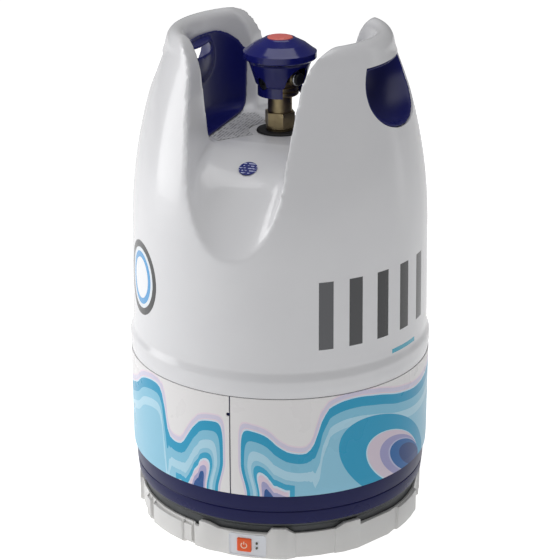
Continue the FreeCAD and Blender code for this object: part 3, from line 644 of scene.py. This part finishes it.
def metal(name, colour, tint, roughness, pitch, relief=0.15):
    """Turned or drawn metal: tool lines round the axis, pitch mm apart, and a little colour change.
    Real tool lines are about 0.1 mm apart. They are drawn coarser, so that they show."""
    material, tree, shader, place = started(name)
    shader.inputs["Metallic"].default_value = 1.0
    lines = add(tree, "TexWave", {"Vector": place, "Scale": math.pi / 10 / (pitch * MM),
                                  "Distortion": 0.4, "Detail": 2.0},
                wave_type="BANDS", bands_direction="Z")
    clouds = add(tree, "TexNoise", {"Vector": place, "Scale": 1 / (9 * MM), "Detail": 4.0})
    shade = add(tree, "MixRGB", {"Fac": clouds, "Color1": linear(colour), "Color2": linear(tint)})
    gloss = add(tree, "MapRange", {"Value": clouds, "From Min": 0.3, "From Max": 0.7,
                                   "To Min": roughness * 0.8, "To Max": roughness * 1.25})
    tree.links.new(shade, shader.inputs["Base Color"])
    tree.links.new(gloss, shader.inputs["Roughness"])
    bump = add(tree, "Bump", {"Strength": relief, "Distance": 0.1 * MM, "Height": lines})
    tree.links.new(bump, shader.inputs["Normal"])
    return material


def turn_and_height(tree, place):
    """The turn from the front in mm along the body's skin, and the height in mm."""
    parts = add(tree, "SeparateXYZ", {"Vector": place}).node.outputs
    back = add(tree, "Math", {0: parts["Y"], 1: -1.0}, operation="MULTIPLY")
    angle = add(tree, "Math", {0: parts["X"], 1: back}, operation="ARCTAN2")
    along = add(tree, "Math", {0: angle, 1: BODY_RADIUS}, operation="MULTIPLY")
    height = add(tree, "Math", {0: parts["Z"], 1: 1000.0}, operation="MULTIPLY")
    return along, height


def along_at(turn):
    return math.radians(turn) * BODY_RADIUS


# The crest of the printed wave, drawn point by point: turn and height in mm.
CREST = [
    (-180, 120), (-165, 148), (-150, 130), (-135, 112), (-118, 148), (-102, 170), (-86, 158),
    (-70, 141), (-54, 150), (-42, 167), (-35, 169), (-31.5, 163), (-28.6, 132), (-26, 117),
    (-22.5, 115), (-19, 123), (-14.7, 139), (-10, 148), (-4, 149), (4, 146), (8, 144), (12, 141),
    (18.6, 127), (23.3, 121), (27, 120), (30, 126), (32.4, 141), (34.8, 158), (38.4, 168), (46, 172),
    (56, 169), (70, 160), (84, 156), (100, 164), (116, 168), (134, 142), (150, 118), (165, 110),
    (180, 120),
]
CREST_SCALE = 200.0


def crest_height(tree, along, shift):
    """The crest's height in mm, at a place moved sideways by shift in mm."""
    moved = add(tree, "Math", {0: along, 1: shift}, operation="ADD")
    share = add(tree, "MapRange", {"Value": moved, "From Min": along_at(-180),
                                   "From Max": along_at(180)})
    curve = add(tree, "FloatCurve", {"Value": share}).node
    line = curve.mapping.curves[0]
    while len(line.points) < len(CREST):
        line.points.new(0.5, 0.5)
    for point, (turn, height) in zip(line.points, CREST):
        point.location = ((turn + 180) / 360, height / CREST_SCALE)
    curve.mapping.update()
    return add(tree, "Math", {0: curve.outputs[0], 1: CREST_SCALE}, operation="MULTIPLY")


def swirl(tree, along, height, middle, reach, tilt=0.0):
    """1 at an ellipse's middle and 0 at its rim. Middle and half sizes are in mm, tilt in degrees."""
    flat = add(tree, "CombineXYZ", {"X": along, "Y": height})
    # A texture mapping moves the point to the ellipse's middle, turns it and then shrinks it.
    local = add(tree, "Mapping", {"Vector": flat, "Location": (middle[0], middle[1], 0),
                                  "Rotation": (0, 0, math.radians(tilt)),
                                  "Scale": (reach[0], reach[1], 1)}, vector_type="TEXTURE")
    away = add(tree, "VectorMath", {0: local}, operation="LENGTH").node.outputs["Value"]
    return add(tree, "Math", {0: 1.0, 1: away}, operation="SUBTRACT")


def bands(tree, value, low, high, stops):
    """Flat bands of colour along a value that runs from low to high."""
    share = add(tree, "MapRange", {"Value": value, "From Min": low, "From Max": high})
    ramp = add(tree, "ValToRGB", {"Fac": share}).node
    ramp.color_ramp.interpolation = "CONSTANT"
    while len(ramp.color_ramp.elements) < len(stops):
        ramp.color_ramp.elements.new(0.5)
    for element, (start, code) in zip(ramp.color_ramp.elements, stops):
        element.position = (start - low) / (high - low)
        element.color = linear(code)
    return ramp.outputs["Color"]


# Colours by depth under the crest, in mm.
WAVE_BANDS = [
    (-20, "eceaea"), (-8.5, "eddfe8"), (-7, "d8d3e7"), (-2.6, "ead6e3"), (-1.4, "cdeaf6"), (0, "259fc8"),
    (10.5, "86c6e0"), (20, "b3dcee"), (29, "92cbe3"), (34, "38a9d0"), (40, "d5e6f2"), (42, "e2d0df"),
    (47, "aaa9d0"), (51.5, "2a5898"), (60, "1d4684"),
]
# The curl on the right: middle (turn, height), half sizes along and across, colour.
CURL = [
    ((65.7, 95), (75, 41), "259fc8"), ((68.5, 92), (49, 26.5), "c5e3ef"),
    ((68.7, 92), (48, 25.5), "d9ccd9"), ((72, 89.5), (40, 20.5), "a19fc9"),
    ((74.5, 87.5), (34, 16.5), "b9bcd9"), ((75, 87), (33, 15.5), "2266a8"),
    ((77.5, 85.5), (24, 10.5), "1b3f7c"),
]
# The same curl stands in three places: how far it is moved round, and its tilt.
CURL_PLACES = [(0, -32), (-186, -26), (80, 24)]


def printed_wave(tree, place, _ground, _tint, _clouds):
    along, height = turn_and_height(tree, place)
    crest = crest_height(tree, along, 0.0)
    right = crest_height(tree, along, 1.5)
    left = crest_height(tree, along, -1.5)
    slope = add(tree, "Math", {0: right, 1: left}, operation="SUBTRACT")
    slope = add(tree, "Math", {0: slope, 1: 3.0}, operation="DIVIDE")
    steep = add(tree, "Math", {0: slope, 1: slope}, operation="MULTIPLY")
    steep = add(tree, "Math", {0: steep, 1: 0.25, 2: 1.0}, operation="MULTIPLY_ADD")
    steep = add(tree, "Math", {0: steep}, operation="SQRT")
    depth = add(tree, "Math", {0: crest, 1: height}, operation="SUBTRACT")
    # On a steep flank the bands would be squeezed thin, so depth counts for less there.
    depth = add(tree, "Math", {0: depth, 1: steep}, operation="DIVIDE")
    # The print stops short of the slit on both sides, further away near the foot.
    off_slit = add(tree, "Math", {0: along, 1: 1.8}, operation="SUBTRACT")
    off_slit = add(tree, "Math", {0: off_slit}, operation="ABSOLUTE")
    spread = add(tree, "MapRange", {"Value": height, "From Min": 74.0, "From Max": 108.0,
                                    "To Min": 15.0, "To Max": 9.0}, interpolation_type="SMOOTHSTEP")
    off_slit = add(tree, "Math", {0: off_slit, 1: spread}, operation="SUBTRACT")
    off_slit = add(tree, "Math", {0: off_slit, 1: 3.2}, operation="MULTIPLY")
    depth = add(tree, "Math", {0: depth, 1: off_slit, 2: 34.0}, operation="SMOOTH_MIN")
    # Away from the slit the print keeps to its light bands, and the curls bring the dark ones.
    for near, far, most in ((12, 25, 33), (-15, -25, 33)):
        limit = add(tree, "MapRange", {"Value": along, "From Min": along_at(near),
                                       "From Max": along_at(far), "To Min": 90.0, "To Max": most},
                    interpolation_type="SMOOTHSTEP")
        depth = add(tree, "Math", {0: depth, 1: limit}, operation="MINIMUM")
    wave = bands(tree, depth, -20, 90, WAVE_BANDS)
    for moved, tilt in CURL_PLACES:
        for (turn, middle), reach, code in CURL:
            inside = swirl(tree, along, height, (along_at(turn + moved), middle), reach, tilt)
            held = add(tree, "Math", {0: inside, 1: 0.0}, operation="GREATER_THAN")
            wave = add(tree, "MixRGB", {"Fac": held, "Color1": wave, "Color2": linear(code)})
    return wave


def bar_mask(tree, along, height, middle, width, low, high):
    """1 inside an upright bar printed on the skin, as wide and high as given in mm."""
    shift = add(tree, "Math", {0: along, 1: along_at(middle)}, operation="SUBTRACT")
    away = add(tree, "Math", {0: shift}, operation="ABSOLUTE")
    across = add(tree, "Math", {0: away, 1: width / 2}, operation="LESS_THAN")
    up = add(tree, "Math", {0: height, 1: (low + high) / 2, 2: (high - low) / 2}, operation="COMPARE")
    return add(tree, "Math", {0: across, 1: up}, operation="MULTIPLY")


# Plain printed bars on the right-hand shoulder: turn, width, low, high and colour.
BARS = [(35.5, 15, 226, 294, "55565a"), (47.5, 15, 226, 294, "3c3d40"), (60, 15, 226, 294, "2b2c2f"),
        (72.5, 15, 226, 294, "232427"), (85, 15, 226, 294, "232427"), (73, 42, 205, 209.5, "3fa9c4")]
# The plain round patch on the left: half sizes and colour of each disc.
PATCH = [(34, 38, "141518"), (27, 31, "e6edf3"), (23, 27, "3d9bd8"), (17, 21, "f1f3f6")]


def casing_print(tree, place, ground, tint, clouds):
    """White plastic with plain dark bars on one side and a plain round patch on the other."""
    along, height = turn_and_height(tree, place)
    colour = add(tree, "MixRGB", {"Fac": clouds, "Color1": ground, "Color2": tint})
    for middle, width, low, high, code in BARS:
        held = bar_mask(tree, along, height, middle, width, low, high)
        colour = add(tree, "MixRGB", {"Fac": held, "Color1": colour, "Color2": linear(code)})
    for across, up, code in PATCH:
        inside = swirl(tree, along, height, (along_at(-48), 268), (across, up))
        held = add(tree, "Math", {0: inside, 1: 0.0}, operation="GREATER_THAN")
        colour = add(tree, "MixRGB", {"Fac": held, "Color1": colour, "Color2": linear(code)})
    return colour


def printed_rows(axis, pitch, inked_share, dash, gap_level):
    """Gives the paint for rows of plain dashes, as small print looks from further off.
    The rows are pitch mm apart along an axis, and the dashes about dash mm long."""
    def paint(tree, place, ground, tint, _clouds):
        parts = add(tree, "SeparateXYZ", {"Vector": place}).node.outputs
        rows = add(tree, "Math", {0: parts[axis], 1: 1 / (pitch * MM)}, operation="MULTIPLY")
        row = add(tree, "Math", {0: rows}, operation="FRACT")
        inked = add(tree, "Math", {0: row, 1: inked_share}, operation="LESS_THAN")
        dashes = add(tree, "TexNoise", {"Vector": place, "Scale": 1 / (dash * MM), "Detail": 1.0})
        dashed = add(tree, "Math", {0: dashes, 1: gap_level}, operation="GREATER_THAN")
        held = add(tree, "Math", {0: inked, 1: dashed}, operation="MULTIPLY")
        return add(tree, "MixRGB", {"Fac": held, "Color1": ground, "Color2": tint})
    return paint


FINISHES = {
    # gloss ABS, injection moulded: bright, with soft reflections and a little orange peel
    "white_casing": moulded("gloss_abs_white", "e4e4e6", 0.22, coat=0.3, tint="dfdfe2",
                            colour_link=casing_print),
    # the same plastic in navy: deep and even, with a broad sheen where it curves in
    "navy_casing": moulded("gloss_abs_navy", "14174f", 0.3, tint="111447", shine=0.2),
    # polypropylene off a fine-etched tool: a soft highlight on the swell of each cup
    "navy_liner": moulded("satin_polypropylene_navy", "171b66", 0.3, grain=0.9, relief=0.05,
                          tint="13175a", shine=0.3),
    # offset-printed film, laminated: flat colour bands under a thin clear skin
    "sleeve_print": moulded("laminated_print_film", "eceaea", 0.3, relief=0.01, coat=0.05,
                            colour_link=printed_wave, shine=0.3),
    # printed paper, matt: rows of grey dashes that read as small print from further off
    "label_print": moulded("printed_paper_label", "cfcfd1", 0.5, tint="8b8b90",
                           colour_link=printed_rows("X", 3.2, 0.42, 5, 0.47)),
    # stoved enamel on a stamped disc: a hard even blue with pale printed rows
    "badge_print": moulded("enamelled_badge_blue", "232c78", 0.3, tint="b9bfe0",
                           colour_link=printed_rows("Y", 3, 0.4, 3, 0.5)),
    # blow-moulded polyethylene: milky and a little waxy
    "liner_hdpe": moulded("blow_moulded_polyethylene", "e8e6dc", 0.45, tint="dedbcd"),
    # glass rovings wound in epoxy: brownish, with the ridges of the windings
    "wrap_glass": moulded("wound_glass_fibre_epoxy", "8f8358", 0.3, grain=2.4, relief=0.4,
                          tint="6f663f"),
    # aluminium off a lathe: grey, with rings left by the tool
    "boss_metal": metal("turned_aluminium", "c9cacd", "b6b8bc", 0.3, 1.0),
    # hot-pressed brass, dulled: brown in the folds, a greenish yellow on the lands
    "valve_brass": metal("pressed_brass_dull", "b9a985", "8d7c5b", 0.34, 1.4, 0.3),
    # nylon off a polished tool: a saturated blue with small sharp highlights
    "valve_blue": moulded("gloss_nylon_blue", "1d2176", 0.16, coat=0.2, tint="171b62"),
    # anodised aluminium, dyed coral: flat and bright, with a faint cloudiness
    "disc_coral": moulded("anodised_disc_coral", "ef7f6b", 0.3, tint="e26a72"),
    # steel, zinc plated: cool grey and slightly uneven
    "steel": metal("zinc_plated_steel", "bfc1c3", "a3a5a8", 0.32, 1.2),
    # chrome on brass: near a mirror, so it shows dark and light edges
    "chrome_ring": metal("chromed_brass", "dfe1e4", "cfd2d6", 0.12, 1.6, 0.03),
    # nylon filled with glass: black and dry, with a fine etched grain
    "black_plastic": moulded("glass_filled_nylon_black", "18191b", 0.42, grain=0.7, relief=0.12,
                             tint="202124"),
    # nitrile rubber, moulded: black with hardly any shine
    "rubber_black": moulded("nitrile_rubber_black", "1c1c1e", 0.6, grain=0.8, relief=0.15,
                            tint="242426"),
    # polypropylene in charcoal: a dark satin band in the shadow under the tank
    "cradle_dark": moulded("moulded_polypropylene_charcoal", "3f4244", 0.38, tint="353839"),
    # ABS off a lightly etched tool: pale, warm and satin, so each facet has its own tone
    "ring_grey": moulded("satin_abs_pale_grey", "e2e1df", 0.34, grain=0.9, relief=0.06,
                         tint="d9d8d6"),
    # ABS off a polished tool: cooler and glossier than the ring round it
    "panel_white": moulded("gloss_abs_panel", "e6e9ee", 0.2, coat=0.2, tint="dfe2e8"),
    # silicone, compression moulded: a strong orange with a soft, dry surface
    "button_orange": moulded("silicone_orange", "f2601a", 0.42, grain=0.7, relief=0.06,
                             tint="ea5512"),
    # tinted polycarbonate: dark and glossy while the lamp is off
    "lamp_lens": moulded("smoked_polycarbonate", "585a49", 0.15, tint="4c4e40"),
    # glass-epoxy board under solder mask: green and smooth
    "board_green": moulded("solder_masked_board", "1c5a36", 0.3, tint="174d2d"),
    # shrink-wrapped battery cell: dark film with coppery patches
    "cell_jacket": moulded("shrink_wrapped_cell", "31343a", 0.3, tint="a8783a"),
    # closed-cell nitrile foam: black, matt and pitted
    "float_foam": moulded("nitrile_foam", "2c2c2e", 0.7, grain=0.5, relief=0.3, tint="353537"),
}
# Screen-printing ink: a flat cream film on the orange button.
MARK_INK = moulded("cream_ink", "fdf0dc", 0.4, tint="f8e6cc")


def finish(piece, material):
    piece.data.materials.clear()
    piece.data.materials.append(material)


for part in frame["record"]["subparts"]:
    node = frame["nodes"][part["node"]]
    for slot in node.material_slots:
        slot.material = FINISHES[part["material_slot"]]
for piece, slot_name in ((casing, "white_casing"), (liners[0], "navy_liner"), (liners[1], "navy_liner"),
                         (pan, "navy_casing"), (ring, "ring_grey"), (panel, "panel_white"),
                         (springs[0], "steel"), (springs[1], "steel")):
    finish(piece, FINISHES[slot_name])
finish(mark, MARK_INK)


# ---- stage, lights and camera -------------------------------------------------------------

def stage():
    deselect()
    bpy.ops.mesh.primitive_plane_add(size=12, location=(0, 0, cad_low.z - 0.0002))
    floor = bpy.context.object
    floor.name = "studio_floor"
    # uncoated paper: white and quite matt
    material, tree, shader, place = started("matt_studio_paper")
    grain = add(tree, "TexNoise", {"Vector": place, "Scale": 400.0})
    tone = add(tree, "MixRGB", {"Fac": grain, "Color1": linear("fbfbfb"), "Color2": linear("f9f9f9")})
    tree.links.new(tone, shader.inputs["Base Color"])
    shader.inputs["Roughness"].default_value = 0.9
    shader.inputs["Emission Color"].default_value = (1, 1, 1, 1)
    # The paper glows white to the eye, and lights the tank less than that.
    seen = add(tree, "LightPath").node.outputs["Is Camera Ray"]
    tree.links.new(add(tree, "MapRange", {"Value": seen, "To Min": 0.42, "To Max": 0.8}),
                   shader.inputs["Emission Strength"])
    floor.data.materials.append(material)


def soft_light(name, place, target, size, power):
    """A rectangular softbox that faces the target. Places and sizes are in metres, power in watts."""
    lamp = bpy.data.lights.new(name, "AREA")
    lamp.shape = "RECTANGLE"
    lamp.size, lamp.size_y = size
    lamp.energy = power
    holder = bpy.data.objects.new(name, lamp)
    holder.location = place
    holder.rotation_euler = (Vector(target) - Vector(place)).to_track_quat("-Z", "Y").to_euler()
    bpy.context.scene.collection.objects.link(holder)


def world(strength):
    """A white room: plain white to the eye, and dimmer as a light."""
    scene = bpy.context.scene
    scene.world = bpy.data.worlds.new("white_room")
    scene.world.use_nodes = True
    tree = scene.world.node_tree
    tree.nodes.clear()
    seen = add(tree, "LightPath").node.outputs["Is Camera Ray"]
    level = add(tree, "MapRange", {"Value": seen, "To Min": strength, "To Max": 1.15})
    glow = add(tree, "Background", {"Color": (1, 1, 1, 1), "Strength": level})
    out = tree.nodes.new("ShaderNodeOutputWorld")
    tree.links.new(glow, out.inputs["Surface"])


def camera():
    lens = bpy.data.cameras.new("camera")
    lens.lens = 115.7
    lens.sensor_width = 36
    lens.clip_end = 50
    holder = bpy.data.objects.new("camera", lens)
    holder.location = (0.5448, -1.6283, 0.8932)
    holder.rotation_euler = (math.radians(69.244), 0, math.radians(18.5))
    bpy.context.scene.collection.objects.link(holder)
    bpy.context.scene.camera = holder


stage()
TANK_MIDDLE = (0, 0, 0.25)
soft_light("key_left", (-2.05, -0.5, 1.0), TANK_MIDDLE, (1.2, 2.2), 27)
soft_light("fill_top", (0.2, -0.3, 2.4), TANK_MIDDLE, (2.2, 2.2), 25)
soft_light("edge_right", (1.7, 1.1, 0.6), TANK_MIDDLE, (0.35, 1.6), 1)
world(0.14)
camera()
bpy.context.scene.view_settings.view_transform = "Standard"
